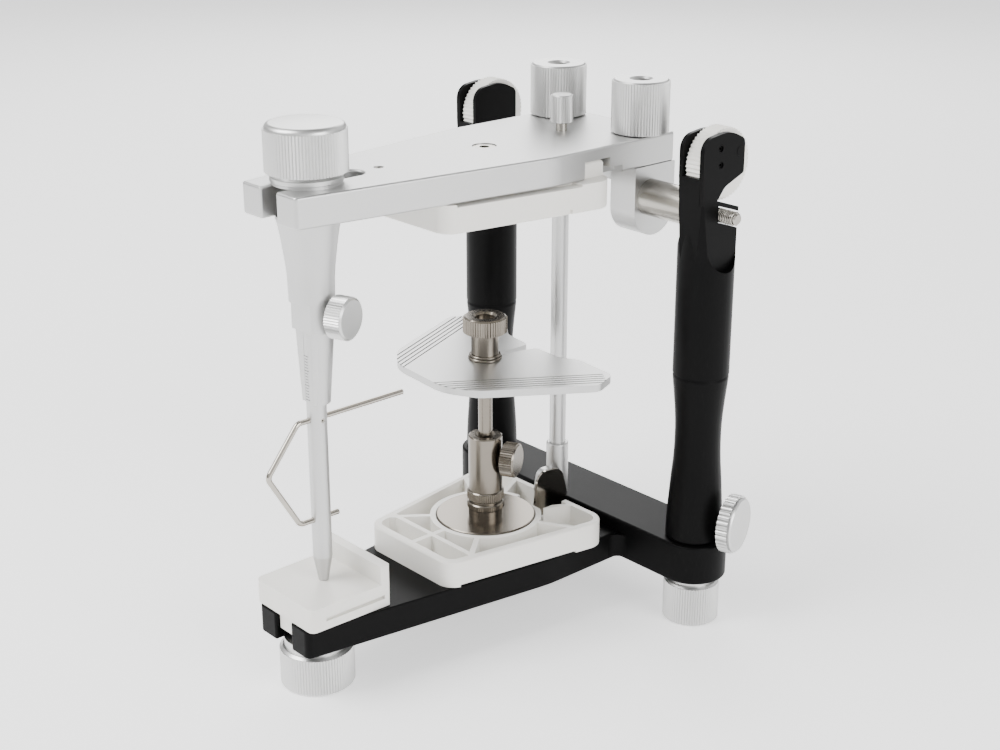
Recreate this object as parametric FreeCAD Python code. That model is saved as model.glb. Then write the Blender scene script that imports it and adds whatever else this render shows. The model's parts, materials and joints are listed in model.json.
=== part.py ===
"""Dental articulator: lower frame with two posts, hinged upper frame, incisal pin and table, mounting plates
and an occlusal plane stand.

Millimetres, +Z up, +X to the articulator's right, -Y towards the incisal pin. The pieces are drawn with the
condylar axis above Y = 0 and the middle plane at X = 0, and each one is moved by AXIS_X and AXIS_Y when it is
written, so that the origin lies on the floor in the middle of the whole footprint.
"""

import FreeCAD, Part
import os
from math import cos, pi, radians, sin, sqrt, tan

# Whole object
AXIS_X = -3.47           # from the middle of the footprint across to the plane midway between the posts
AXIS_Y = 65.15           # from the middle of the footprint back to the condylar axis
SPAN = 55.0              # half the distance between the posts' centres (110 mm between the condyles)
KNOB_TOP = 193.4         # the three top knobs end in one plane, so the articulator also stands upside down

# Lower frame
BEAM_BOTTOM = 18.1
BEAM_TOP = 32.9
BEAM_R = 12.1
TONGUE_TOP = 28.4
TONGUE_FRONT = -142.3
TONGUE_BEND = -46.7
TONGUE_HALF_FRONT = 13.9
TONGUE_HALF_BACK = 28.8
FORK_HALF = 4.4
FORK_END = -112.0

# Posts
POST_R = 9.9
POST_SEAM = 95.5
SHAFT_Z = 153.3
HEAD_IN = 51.2
HEAD_OUT = 62.0
CHEEK = 1.8
HEAD_LEDGE = 167.3
SLOT_SLOPE = 0.338       # fall of the condylar slot per millimetre towards the back
SLOT_FRONT = -2.9
DIAL_Y = 2.0
DIAL_Z = 170.4
DIAL_R = 12.3

# Feet and side knob
FOOT_R = 10.15
FRONT_FOOT_R = 12.8
FRONT_FOOT_Y = -129.0
SIDE_KNOB_Z = 40.5
SIDE_KNOB_R = 10.6
SIDE_KNOB_TURN = 18.0    # the side knob points this far back from straight sideways

# Mounting plates, one drawing for both
MOUNT_FRONT = -88.6
MOUNT_BACK = -21.5
MOUNT_HALF_FRONT = 22.5
MOUNT_HALF_BACK = 33.6
MOUNT_HEIGHT = 9.6
MOUNT_FOOT = 0.8
MOUNT_WALL = 2.6
DISC_Y = -52.0
DISC_R = 18.0

# Upper frame
PLATE_BOTTOM = 164.4
PLATE_TOP = 174.6
PLATE_FRONT = -139.7
PLATE_BACK = 12.4
PLATE_BEND = -46.0
PLATE_HALF_FRONT = 14.3
PLATE_HALF_BACK = 28.0
PLATE_SLOT_HALF = 4.1
PLATE_SLOT_END = -104.0
BLOCK_FRONT = -7.4
BLOCK_R = 9.9
LUG_IN = 16.2
SHAFT_R = 6.4
SHAFT_START = 18.0
SHAFT_END = 47.8
THREAD_R = 2.45
THREAD_END = 68.2
REAR_KNOB_X = 20.5
REAR_KNOB_Y = 2.0
THUMB_Y = -16.0

# Incisal pin and its holder
PIN_Y = -125.0
PIN_R = 3.3
PIN_TOP = 156.0
TABLE_TOP = 36.9
HOLDER_FLAT = 136.4
HOLDER_CLAMP = 126.6
HOLDER_END = 101.6
HOLDER_KNOB_Z = 132.0
HOLDER_KNOB_TURN = 20.0
WIRE_R = 0.95
WIRE_HIGH = 95.7
WIRE_LOW = 60.0
BIG_KNOB_R = 13.15

# Occlusal plane stand
COLUMN_R = 6.05
COLUMN_TOP = 69.4
STAND_ROD_R = 2.5
PLATFORM_TOP = 98.6
PLATFORM_THICK = 2.6
PLATFORM_TURN = -5.5
STAND_KNOB_Z = 61.0
STAND_KNOB_TURN = 27.0

# Hanging rod
ROD_R = 3.0
PIVOT_Z = 158.4
SHOE_TOP = 56.5

RUNNING = 0.05           # radial clearance of a running fit
GAP = 0.3                # clearance between pieces that only pass each other


# ---------------------------------------------------------------- drawing helpers

def vec(x, y, z):
    return FreeCAD.Vector(x, y, z)


def box(x0, x1, y0, y1, z0, z1):
    return Part.makeBox(x1 - x0, y1 - y0, z1 - z0, vec(x0, y0, z0))


def post(r, z0, z1, x=0.0, y=0.0):
    """Upright cylinder."""
    return Part.makeCylinder(r, z1 - z0, vec(x, y, z0))


def bar_x(r, x0, x1, y, z):
    """Cylinder along X."""
    return Part.makeCylinder(r, x1 - x0, vec(x0, y, z), vec(1, 0, 0))


def bar_y(r, y0, y1, x, z):
    """Cylinder along Y."""
    return Part.makeCylinder(r, y1 - y0, vec(x, y0, z), vec(0, 1, 0))


def cone(r0, r1, z0, z1, x=0.0, y=0.0):
    return Part.makeCone(r0, r1, z1 - z0, vec(x, y, z0))


def turned(profile, x=0.0, y=0.0):
    """Solid of revolution about an upright axis from (radius, height) points, closed along the axis."""
    points = [vec(0, 0, profile[0][1])]
    points += [vec(r, 0, z) for r, z in profile]
    points += [vec(0, 0, profile[-1][1]), vec(0, 0, profile[0][1])]
    solid = Part.Face(Part.makePolygon(points)).revolve(vec(0, 0, 0), vec(0, 0, 1), 360)
    solid.translate(vec(x, y, 0))
    return solid


def turned_smooth(low, curve, high, x=0.0, y=0.0):
    """Solid of revolution whose side is one smooth curve between the points of a lower and an upper profile."""
    spline = Part.BSplineCurve()
    spline.interpolate([vec(r, 0, z) for r, z in curve])
    low = low + [curve[0]]
    high = [curve[-1]] + high
    start = [vec(0, 0, low[0][1])] + [vec(r, 0, z) for r, z in low]
    end = [vec(r, 0, z) for r, z in high] + [vec(0, 0, high[-1][1])]
    edges = [Part.makePolygon(start), spline.toShape(), Part.makePolygon(end + [start[0]])]
    outline = Part.Wire([edge for item in edges for edge in item.Edges])
    solid = Part.Face(outline).revolve(vec(0, 0, 0), vec(0, 0, 1), 360)
    solid.translate(vec(x, y, 0))
    return solid


def rounded_outline(corners):
    """Closed wire in the XY plane through (x, y, radius) corners, each rounded by a tangent arc."""
    edges = []
    count = len(corners)
    ends = []
    for i in range(count):
        x, y, radius = corners[i]
        here = vec(x, y, 0)
        before = (vec(*corners[i - 1][:2], 0) - here).normalize()
        after = (vec(*corners[(i + 1) % count][:2], 0) - here).normalize()
        if radius == 0:
            ends.append((here, None, here))
            continue
        half = before.getAngle(after) / 2
        reach = radius / tan(half)
        middle = (before + after).normalize() * (radius / sin(half) - radius)
        ends.append((here + before * reach, here + middle, here + after * reach))
    for i in range(count):
        first, arc_middle, last = ends[i]
        if arc_middle is not None:
            edges.append(Part.Arc(first, arc_middle, last).toShape())
        following = ends[(i + 1) % count][0]
        if last.distanceToPoint(following) > 1e-6:
            edges.append(Part.makeLine(last, following))
    return Part.Wire(edges)


def slab(corners, z0, z1):
    """Upright prism of a rounded outline."""
    solid = Part.Face(rounded_outline(corners)).extrude(vec(0, 0, z1 - z0))
    solid.translate(vec(0, 0, z0))
    return solid


def side_slab(corners, x0, x1):
    """Prism along X of a rounded outline given as (y, z, radius) corners."""
    solid = Part.Face(rounded_outline(corners)).extrude(vec(0, 0, x1 - x0))
    solid.Placement = FreeCAD.Placement(vec(x0, 0, 0), FreeCAD.Rotation(vec(0, 1, 0), vec(0, 0, 1), vec(1, 0, 0), "ZXY"))
    return solid


def mirrored(shape):
    return shape.mirror(vec(0, 0, 0), vec(1, 0, 0))


def both(make):
    """A piece on the right and its mirror image on the left."""
    right = make()
    return right, mirrored(right)


def group(*shapes):
    return Part.makeCompound(list(shapes))


def fuse(*shapes):
    return shapes[0].fuse(list(shapes[1:])).removeSplitter()


def edges_at(shape, test):
    return [edge for edge in shape.Edges if test(edge)]


def level_edges(shape, z):
    """The edges of a shape that lie flat at one height."""
    return edges_at(shape, lambda e: abs(e.BoundBox.ZMin - z) < 1e-4 and abs(e.BoundBox.ZMax - z) < 1e-4)


def knob(r, z0, z1, chamfer, x=0.0, y=0.0):
    """Upright round knob with both rims broken."""
    return turned([(r - chamfer, z0), (r, z0 + chamfer), (r, z1 - chamfer), (r - chamfer, z1)], x, y)


def aimed(shape, turn, x, y, z):
    """Turn an upright piece so that its axis lies level and points from (x, y, z) to the right, `turn` degrees back."""
    shape.rotate(vec(0, 0, 0), vec(0, 1, 0), 90)
    shape.rotate(vec(0, 0, 0), vec(0, 0, 1), turn)
    shape.translate(vec(x, y, z))
    return shape


# ---------------------------------------------------------------- lower frame

def tongue_outline():
    """Right half and left half of the tongue, from the back of the crossbeam to the fork."""
    half = [
        (TONGUE_HALF_BACK, -2.0, 0),
        (TONGUE_HALF_BACK, TONGUE_BEND, 60.0),
        (TONGUE_HALF_FRONT, TONGUE_FRONT, 2.4),
        (FORK_HALF, TONGUE_FRONT, 0.8),
        (FORK_HALF, FORK_END, 3.6),
    ]
    return [(-x, y, r) for x, y, r in half] + half[::-1]


def lower_frame():
    tongue = slab(tongue_outline(), BEAM_BOTTOM, TONGUE_TOP)
    tongue = tongue.makeFillet(0.7, level_edges(tongue, TONGUE_TOP) + level_edges(tongue, BEAM_BOTTOM))
    ends = [post(BEAM_R, BEAM_BOTTOM, BEAM_TOP, side * SPAN) for side in (-1, 1)]
    beam = fuse(box(-SPAN, SPAN, -BEAM_R, BEAM_R, BEAM_BOTTOM, BEAM_TOP), *ends)
    beam = beam.makeFillet(0.9, level_edges(beam, BEAM_TOP) + level_edges(beam, BEAM_BOTTOM))
    frame = fuse(beam, tongue)
    fillet_r = 5.0
    for side in (-1, 1):
        x = side * TONGUE_HALF_BACK
        web = box(min(x, x + side * fillet_r), max(x, x + side * fillet_r), -BEAM_R - fillet_r, -BEAM_R + 1,
                  BEAM_BOTTOM + 0.9, TONGUE_TOP - 0.7)
        scoop = post(fillet_r, BEAM_BOTTOM, TONGUE_TOP, x + side * fillet_r, -BEAM_R - fillet_r)
        frame = frame.fuse(web.cut(scoop))
    for side in (-1, 1):
        frame = frame.cut(post(3.0 + GAP, BEAM_BOTTOM - 1, BEAM_TOP + 1, side * SPAN))
    frame = frame.cut(post(2.0 + GAP, BEAM_BOTTOM - 1, TONGUE_TOP + 1, 0, DISC_Y))
    return frame.cut(post(4.2, BEAM_BOTTOM - 1, BEAM_BOTTOM + 3.2, 0, DISC_Y))


def post_base():
    """Waisted lower half of a post, bored for its stud and dowel."""
    waist = [(10.2, 33.6), (10.1, 38.4), (9.8, 45.0), (9.46, 50.0), (9.05, 56.1), (8.65, 60.6), (8.37, 64.8),
             (8.2, 72.6), (8.33, 78.4), (8.7, 83.3), (9.1, 87.7), (9.57, 92.1), (9.8, 94.6)]
    shape = turned_smooth([(9.6, BEAM_TOP)], waist, [(9.6, POST_SEAM)], SPAN)
    shape = shape.cut(post(3.0, BEAM_TOP - 1, 60.5, SPAN))
    return shape.cut(post(3.0, 79.5, POST_SEAM + 1, SPAN))


def post_base_right():
    """The right post's lower half is also bored for the side knob's stud."""
    return post_base().cut(aimed(post(2.0, 4.0, 14), SIDE_KNOB_TURN, SPAN, 0, SIDE_KNOB_Z))


def head_corners():
    """Side view of the flat head, as (y, z, radius) corners from the neck's front up and round to its back."""
    return [
        (-10.55, 158.4, 0),
        (-11.2, 167.0, 0),
        (-11.3, 180.4, 5.2),
        (1.5, 182.0, 14.0),
        (9.1, 178.4, 2.6),
        (9.1, 166.9, 1.0),
        (-0.2, 163.3, 5.0),
        (-4.2, 158.4, 0),
    ]


def neck_corners():
    return [
        (-9.3, 138.0, 0),
        (-11.2, 167.0, 0),
        (-11.2, HEAD_LEDGE, 0),
        (-4.0, HEAD_LEDGE, 0),
        (-4.0, 158.4, 0),
        (SLOT_FRONT, 157.4, 0),
        (SLOT_FRONT, 138.0, 0),
    ]


def slot_line(rise, y):
    """Height of a line that falls with the condylar slot, at one distance back."""
    return rise - SLOT_SLOPE * y


def post_head():
    """Upper half of the right post: round below, with a stepped flat, an open slot for the shaft's end and a fork
    whose inner cheek is part of it."""
    tube = post(POST_R, POST_SEAM, 152.0, SPAN)
    groove = post(POST_R + 1, POST_SEAM, POST_SEAM + 0.5, SPAN).cut(post(POST_R - 0.35, POST_SEAM, POST_SEAM + 0.5, SPAN))
    tube = tube.cut(groove)
    far = 14.0
    above_slot = [(SLOT_FRONT, slot_line(150.4, SLOT_FRONT), 0), (far, slot_line(150.4, far), 0), (far, 170, 0),
                  (SLOT_FRONT, 170, 0)]
    tube = tube.cut(side_slab(above_slot, SPAN - 15, SPAN + 15))
    flare = cone(POST_R, POST_R + 5.5, 138, 184, SPAN)
    neck = side_slab(neck_corners(), HEAD_IN, HEAD_OUT).common(flare)
    inner_cheek = side_slab(head_corners(), HEAD_IN, HEAD_IN + 1.5).common(flare)
    head = fuse(tube, neck, inner_cheek)
    shoulder = Part.Face(Part.makePolygon([vec(44, -20, 134.6), vec(HEAD_IN, -20, 147.2), vec(HEAD_IN, -20, 153.5),
                                           vec(44, -20, 153.5), vec(44, -20, 134.6)])).extrude(vec(0, 40, 0))
    flat = box(HEAD_OUT, SPAN + 15, -15, 15, 141, 185).fuse(bar_x(7.0, HEAD_OUT, SPAN + 15, 0, 141))
    head = head.cut(shoulder).cut(flat)
    head = head.cut(box(HEAD_OUT - CHEEK, SPAN + 15, -15, 15, 158.4, 185))
    head = head.cut(bar_x(DIAL_R + 0.4, HEAD_IN + 1.5, HEAD_OUT - CHEEK, DIAL_Y, DIAL_Z))
    roof_front, roof_back = -4.3, 9.5
    roof = side_slab([(roof_front, slot_line(156.2, roof_front), 0), (roof_back, slot_line(156.2, roof_back), 0),
                      (roof_back, slot_line(157.8, roof_back), 0), (roof_front, slot_line(157.8, roof_front), 0)],
                     HEAD_IN + 1.8, HEAD_OUT - CHEEK)
    head = fuse(head, roof)
    head = head.cut(bar_x(1.5, HEAD_IN + 0.5, HEAD_OUT, DIAL_Y, DIAL_Z))
    return head.cut(post(3.0, POST_SEAM - 1, POST_SEAM + 12, SPAN))


def guide_cheek():
    """Outer cheek, screwed on to keep the dial in."""
    plate = side_slab(head_corners(), HEAD_OUT - CHEEK, HEAD_OUT)
    plate = plate.cut(bar_x(1.5, HEAD_OUT - CHEEK - 1, HEAD_OUT - 0.6, DIAL_Y, DIAL_Z))
    for y, z, r in cheek_holes():
        plate = plate.cut(bar_x(r, HEAD_OUT - CHEEK - 1, HEAD_OUT + 1, y, z))
    return plate


def cheek_holes():
    """The cheek's two small screws and its rivet, as (y, z, radius)."""
    return [(-3.0, 176.6, 1.15), (-2.6, 171.0, 1.15), (6.9, 174.4, 1.7)]


def cheek_screws():
    screws = []
    for y, z, r in cheek_holes()[:2]:
        screw = bar_x(r, HEAD_OUT - CHEEK, HEAD_OUT - 0.5, y, z)
        screws.append(screw.cut(bar_x(0.5, HEAD_OUT - 1.2, HEAD_OUT, y, z)))
    return screws + [mirrored(screw) for screw in screws]


def cheek_rivets():
    y, z, r = cheek_holes()[2]
    rivet = bar_x(r, HEAD_OUT - CHEEK, HEAD_OUT + 0.1, y, z)
    return [rivet, mirrored(rivet)]


def guide_dial():
    """White thumb wheel of the condylar guide."""
    x0, x1 = HEAD_IN + 1.5 + GAP, HEAD_OUT - CHEEK - GAP
    wheel = bar_x(DIAL_R, x0, x1, DIAL_Y, DIAL_Z)
    wheel = wheel.makeChamfer(0.5, edges_at(wheel, lambda e: e.BoundBox.XLength < 1e-4))
    return wheel.cut(bar_x(1.5 + RUNNING, x0 - 1, x1 + 1, DIAL_Y, DIAL_Z))


def dial_axle():
    return bar_x(1.5, HEAD_IN + 0.5, HEAD_OUT - 0.6, DIAL_Y, DIAL_Z)


def post_studs():
    """Stud that ties foot, beam and post together, and the dowel between the post's halves."""
    return group(post(3.0, 6.0, 60.0, SPAN), post(3.0, 80.0, POST_SEAM + 12, SPAN))


def rear_foot():
    foot = turned([(FOOT_R - 0.9, 0), (FOOT_R, 0.9), (FOOT_R, 14.6), (FOOT_R - 0.9, 15.5), (8.4, 15.5),
                   (8.4, BEAM_BOTTOM - GAP)], SPAN)
    return foot.cut(post(3.0 + RUNNING, 5.5, BEAM_BOTTOM + 1, SPAN))


def side_knob():
    """Fluted knob; its rim is scalloped, so this is its outer size."""
    inner = BEAM_R + 0.35
    shape = turned([(4.0, 11.2), (4.0, inner), (SIDE_KNOB_R - 0.8, inner), (SIDE_KNOB_R, inner + 0.8),
                    (SIDE_KNOB_R, 17.2), (SIDE_KNOB_R - 0.8, 18.0)])
    shape = shape.cut(post(2.0 + RUNNING, 11, 16))
    return aimed(shape, SIDE_KNOB_TURN, SPAN, 0, SIDE_KNOB_Z)


def side_knob_stud():
    return aimed(post(2.0, 4.0, 15.6), SIDE_KNOB_TURN, SPAN, 0, SIDE_KNOB_Z)


# ---------------------------------------------------------------- incisal table

def incisal_table():
    """White table with a raised back wall, side grooves and a key that runs in the fork."""
    base = slab([(-16, -141.8, 2.2), (16, -141.8, 2.2), (16.8, -109.6, 1.0), (-16.8, -109.6, 1.0)],
                TONGUE_TOP + 0.05, TABLE_TOP)
    wall = slab([(-16.8, -113.4, 0.6), (16.8, -113.4, 0.6), (16.8, -109.6, 1.0), (-16.8, -109.6, 1.0)],
                TABLE_TOP - 1.4, 43.6)
    key = box(-FORK_HALF + GAP, FORK_HALF - GAP, -140.6, -127.0, 22.4, TONGUE_TOP + 0.2)
    table = fuse(base, wall, key)
    for side in (-1, 1):
        x0, x1 = sorted((side * 15.0, side * 18.0))
        table = table.cut(box(x0, x1, -136.0, -112.0, 31.4, 32.8))
    return table.cut(post(2.5, 20.0, 34.0, 0, FRONT_FOOT_Y))


def table_stud():
    return post(2.5, 5.0, 34.0, 0, FRONT_FOOT_Y)


def front_foot():
    """Knurled foot that also draws the table down on the fork."""
    foot = turned([(FRONT_FOOT_R - 1.0, 0), (FRONT_FOOT_R, 1.0), (FRONT_FOOT_R, 13.4), (FRONT_FOOT_R - 1.0, 14.4),
                   (11.0, 14.4), (11.0, BEAM_BOTTOM - GAP)], 0, FRONT_FOOT_Y)
    return foot.cut(post(2.5 + RUNNING, 4.5, BEAM_BOTTOM + 1, 0, FRONT_FOOT_Y))


# ---------------------------------------------------------------- mounting plates

def mount_corners(inset=0.0):
    """Outline of a mounting plate, drawn in by `inset`."""
    half = [
        (MOUNT_HALF_BACK - inset, MOUNT_BACK - inset, max(7.0 - inset, 1.0)),
        (MOUNT_HALF_FRONT - inset, MOUNT_FRONT + inset, max(6.5 - inset, 1.0)),
    ]
    return [(-x, y, r) for x, y, r in half] + half[::-1]


def mount_cells():
    """Hollow between the rim and the middle ring, before the ribs are put back."""
    hollow = slab(mount_corners(MOUNT_WALL), 2.4, MOUNT_HEIGHT + 1)
    ring = post(DISC_R + 2.3, 0, MOUNT_HEIGHT + 2, 0, DISC_Y)
    cells = hollow.cut(ring)
    rib = 1.9
    for angle in (-50, -128, 28, 152, 62, 118, -90):
        length = 60
        web = box(0, length, -rib / 2, rib / 2, 0, MOUNT_HEIGHT + 2)
        web.rotate(vec(0, 0, 0), vec(0, 0, 1), angle)
        web.translate(vec(0, DISC_Y, 0))
        cells = cells.cut(web)
    return cells.cut(box(-40, 40, -78.4, -76.5, 0, MOUNT_HEIGHT + 2))


def mounting_plate():
    """Ribbed plate seen from its open side, lying on z = 0, with notches under its edge and a seat for the disc."""
    plate = slab(mount_corners(), 0, MOUNT_HEIGHT)
    plate = plate.makeFillet(0.8, level_edges(plate, MOUNT_HEIGHT))
    plate = plate.cut(mount_cells())
    plate = plate.cut(post(DISC_R + 0.3, 7.4, MOUNT_HEIGHT + 1, 0, DISC_Y))
    plate = plate.cut(post(DISC_R - 2.5, 2.4, MOUNT_HEIGHT + 1, 0, DISC_Y))
    relief = slab(mount_corners(-5.0), -1, MOUNT_FOOT).cut(slab(mount_corners(5.5), -2, 2))
    plate = plate.cut(relief.cut(box(-40, 40, -36, 0, -2, 2)).cut(box(-40, 40, -90, -84, -2, 2)))
    for x in (-12.5, 12.5):
        plate = plate.cut(post(1.2, -1, 3.5, x, -80.5))
    return plate.cut(post(2.0 + GAP, -1, 4, 0, DISC_Y))


def lower_mounting_plate():
    plate = mounting_plate()
    plate = plate.cut(box(-3.2, 11.0, -34.5, MOUNT_BACK + 1, 2.2, MOUNT_HEIGHT + 1))
    plate.translate(vec(0, 0, TONGUE_TOP))
    return plate


def plate_disc():
    """Steel keeper disc in the floor of a mounting plate."""
    disc = post(DISC_R - 4.5, 2.4, 4.4, 0, DISC_Y)
    return disc.cut(post(2.0 + RUNNING, 2, 5, 0, DISC_Y))


def lower_plate_disc():
    disc = plate_disc()
    disc.translate(vec(0, 0, TONGUE_TOP))
    return disc


def plate_screw(z_head, z_tip, head_r=3.9, head=3.0):
    """Cap screw from z_head towards z_tip; the head is outside the joint."""
    way = 1 if z_tip > z_head else -1
    low, high = sorted((z_head, z_head + way * head))
    cap = post(head_r, low, high, 0, DISC_Y)
    low, high = sorted((z_head + way * head, z_tip))
    stem = post(2.0, low, high, 0, DISC_Y)
    recess_low, recess_high = sorted((z_head - way, z_head + way * 1.8))
    return fuse(cap, stem).cut(post(1.7, recess_low, recess_high, 0, DISC_Y))


def upside_down(shape, z):
    """Turn a piece over about the line through the disc's centre along Y and set its base at z."""
    shape.rotate(vec(0, DISC_Y, 0), vec(0, 1, 0), 180)
    shape.translate(vec(0, 0, z))
    return shape


def upper_mounting_plate():
    """The same plate under the upper frame, with a raised tab at the back that hooks into the frame's relief."""
    plate = upside_down(mounting_plate(), PLATE_BOTTOM - 0.1)
    tab = box(11.0, 26.0, -31.0, MOUNT_BACK, PLATE_BOTTOM - 3.0, PLATE_BOTTOM + 5.6)
    tab = tab.makeFillet(1.8, edges_at(tab, lambda e: e.BoundBox.ZMin > PLATE_BOTTOM + 5))
    plate = plate.fuse([tab, mirrored(tab)])
    for y in (-66.0, -56.0, -41.0, -31.0):
        for x in (-30.5, 30.5):
            plate = plate.cut(box(x - 1.1, x + 1.1, y - 1.2, y + 1.2, 150, PLATE_BOTTOM - MOUNT_HEIGHT + 1.6))
    return plate


def upper_plate_disc():
    return upside_down(plate_disc(), PLATE_BOTTOM - 0.1)


# ---------------------------------------------------------------- upper frame

def plate_outline():
    half = [
        (PLATE_HALF_BACK, PLATE_BACK, 2.0),
        (PLATE_HALF_BACK, PLATE_BEND, 40.0),
        (PLATE_HALF_FRONT, PLATE_FRONT, 1.6),
        (PLATE_SLOT_HALF, PLATE_FRONT, 0.8),
        (PLATE_SLOT_HALF, PLATE_SLOT_END, 4.0),
    ]
    return [(-x, y, r) for x, y, r in half] + half[::-1]


def upper_frame():
    plate = slab(plate_outline(), PLATE_BOTTOM, PLATE_TOP)
    plate = plate.makeFillet(0.8, level_edges(plate, PLATE_TOP) + level_edges(plate, PLATE_BOTTOM))
    for side in (-1, 1):
        x0, x1 = sorted((side * 10.2, side * (PLATE_HALF_BACK + 1)))
        plate = plate.cut(box(x0, x1, -32.0, -20.0, PLATE_BOTTOM - 1, PLATE_BOTTOM + 6.2))
        x0, x1 = sorted((side * 24.0, side * (PLATE_HALF_BACK + 1)))
        plate = plate.cut(box(x0, x1, -20.5, -14.0, PLATE_BOTTOM - 1, PLATE_BOTTOM + 2.6))
        plate = plate.cut(post(2.5 + RUNNING, PLATE_BOTTOM - 1, PLATE_TOP + 1, side * REAR_KNOB_X, REAR_KNOB_Y))
    plate = plate.cut(post(2.0 + RUNNING, PLATE_BOTTOM - 1, PLATE_TOP + 1, 0, THUMB_Y))
    plate = plate.cut(post(2.0 + GAP, PLATE_BOTTOM - 1, PLATE_TOP + 1, 0, DISC_Y))
    plate = plate.cut(post(4.2, PLATE_TOP - 3.4, PLATE_TOP + 1, 0, DISC_Y))
    return plate.cut(post(1.7, PLATE_BOTTOM + 2, PLATE_TOP + 1, 0, -97.0))


def block_side(bottom_z):
    """Side view of the hinge block, rounded under the shaft."""
    middle = (BLOCK_FRONT + PLATE_BACK) / 2
    return [(BLOCK_FRONT, PLATE_BOTTOM, 0), (BLOCK_FRONT, bottom_z, BLOCK_R - 0.05),
            (2 * middle - BLOCK_FRONT, bottom_z, BLOCK_R - 0.05), (2 * middle - BLOCK_FRONT, PLATE_BOTTOM, 0)]


def hinge_block():
    """Block under the upper frame with two lugs that hold the condylar shaft."""
    lug = side_slab(block_side(139.2), LUG_IN, PLATE_HALF_BACK)
    bridge = box(-LUG_IN - 1, LUG_IN + 1, 0.0, PLATE_BACK, 156.0, PLATE_BOTTOM)
    block = fuse(bridge, lug, mirrored(lug))
    block = block.cut(bar_x(SHAFT_R, -40, -SHAFT_START, 0, SHAFT_Z)).cut(bar_x(SHAFT_R, SHAFT_START, 40, 0, SHAFT_Z))
    for side in (-1, 1):
        block = block.cut(post(2.5, SHAFT_Z + SHAFT_R - 2, PLATE_BOTTOM + 1, side * REAR_KNOB_X, REAR_KNOB_Y))
    return block


def condylar_shaft():
    """Right stub of the condylar shaft, held in its lug."""
    shaft = bar_x(SHAFT_R, SHAFT_START, SHAFT_END, 0, SHAFT_Z)
    return shaft.makeChamfer(0.5, edges_at(shaft, lambda e: e.BoundBox.XLength < 1e-4))


def shaft_collar():
    collar = bar_x(5.4, SHAFT_END, HEAD_IN - GAP, 0, SHAFT_Z)
    return collar.cut(bar_x(THREAD_R, SHAFT_END - 1, HEAD_IN, 0, SHAFT_Z))


def shaft_thread():
    end = bar_x(THREAD_R, SHAFT_END, THREAD_END, 0, SHAFT_Z)
    return end.makeChamfer(0.6, edges_at(end, lambda e: e.BoundBox.XMin > THREAD_END - 0.01))


def rear_knob():
    body = knob(FOOT_R, PLATE_TOP + 0.3, KNOB_TOP, 0.7, REAR_KNOB_X, REAR_KNOB_Y)
    body = body.cut(post(3.4, KNOB_TOP - 6.0, KNOB_TOP + 1, REAR_KNOB_X, REAR_KNOB_Y))
    body = body.cut(cone(3.4, 4.9, KNOB_TOP - 1.5, KNOB_TOP + 0.001, REAR_KNOB_X, REAR_KNOB_Y))
    return body.cut(post(2.5 + RUNNING, PLATE_TOP, KNOB_TOP - 8.0, REAR_KNOB_X, REAR_KNOB_Y))


def rear_knob_stud():
    return post(2.5, SHAFT_Z + SHAFT_R + 0.2, KNOB_TOP - 8.5, REAR_KNOB_X, REAR_KNOB_Y)


def front_knob():
    body = turned([(11.6, PLATE_TOP + 1.0), (11.6, PLATE_TOP + 2.2), (BIG_KNOB_R - 0.8, PLATE_TOP + 2.4),
                   (BIG_KNOB_R, PLATE_TOP + 3.2), (BIG_KNOB_R, KNOB_TOP - 2.6), (BIG_KNOB_R - 0.8, KNOB_TOP - 0.9),
                   (BIG_KNOB_R - 2.4, KNOB_TOP)], 0, PIN_Y)
    return body.cut(post(3.0 + RUNNING, PLATE_TOP, KNOB_TOP - 5.0, 0, PIN_Y))


def front_washer():
    ring = post(11.2, PLATE_TOP, PLATE_TOP + 0.8, 0, PIN_Y)
    return ring.cut(post(3.0 + RUNNING, PLATE_TOP - 1, PLATE_TOP + 2, 0, PIN_Y))


def holder_stud():
    """Threaded stud on the holder that the front knob pulls up."""
    return post(3.0, PLATE_BOTTOM - 2.0, KNOB_TOP - 5.5, 0, PIN_Y)


def thumb_knob():
    return knob(4.0, PLATE_TOP + 3.0, PLATE_TOP + 12.6, 0.4, 0, THUMB_Y).cut(
        post(2.0 + RUNNING, PLATE_TOP, PLATE_TOP + 8.0, 0, THUMB_Y))


def thumb_stud():
    return post(2.0, PLATE_BOTTOM - 1.5, PLATE_TOP + 7.5, 0, THUMB_Y)


def centre_plug():
    plug = post(1.7, PLATE_BOTTOM + 2, PLATE_TOP - 0.4, 0, -97.0)
    return plug.cut(post(0.8, PLATE_TOP - 2, PLATE_TOP + 1, 0, -97.0))


# ---------------------------------------------------------------- incisal pin and holder

def pin_holder():
    """Flared body, a flat clamp band and a tapered nose whose front is cut away to show the pin's scale."""
    flare = [(7.4, HOLDER_FLAT), (7.5, 141.4), (7.75, 146.4), (8.35, 151.3), (9.0, 156.2), (9.75, 160.7)]
    upper = turned_smooth([], flare, [(10.45, PLATE_BOTTOM - 0.8), (10.3, PLATE_BOTTOM)], 0, PIN_Y)
    band = post(6.95, HOLDER_CLAMP, HOLDER_FLAT, 0, PIN_Y)
    band = band.cut(box(-10, 10, PIN_Y - 10, PIN_Y - 4.6, HOLDER_CLAMP - 1, HOLDER_FLAT + 1))
    nose = cone(4.75, 6.75, HOLDER_END, HOLDER_CLAMP, 0, PIN_Y)
    nose = nose.cut(box(-10, 10, PIN_Y - 10, PIN_Y - 2.6, HOLDER_END - 1, HOLDER_CLAMP))
    body = fuse(upper, band, nose)
    body = body.cut(post(PIN_R + RUNNING, HOLDER_END - 1, PIN_TOP + 5.0, 0, PIN_Y))
    body = body.cut(post(3.0, PLATE_BOTTOM - 2.0, PLATE_BOTTOM + 1, 0, PIN_Y))
    return body.cut(aimed(post(1.5, 0, 12), HOLDER_KNOB_TURN, 0, PIN_Y, HOLDER_KNOB_Z))


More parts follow.
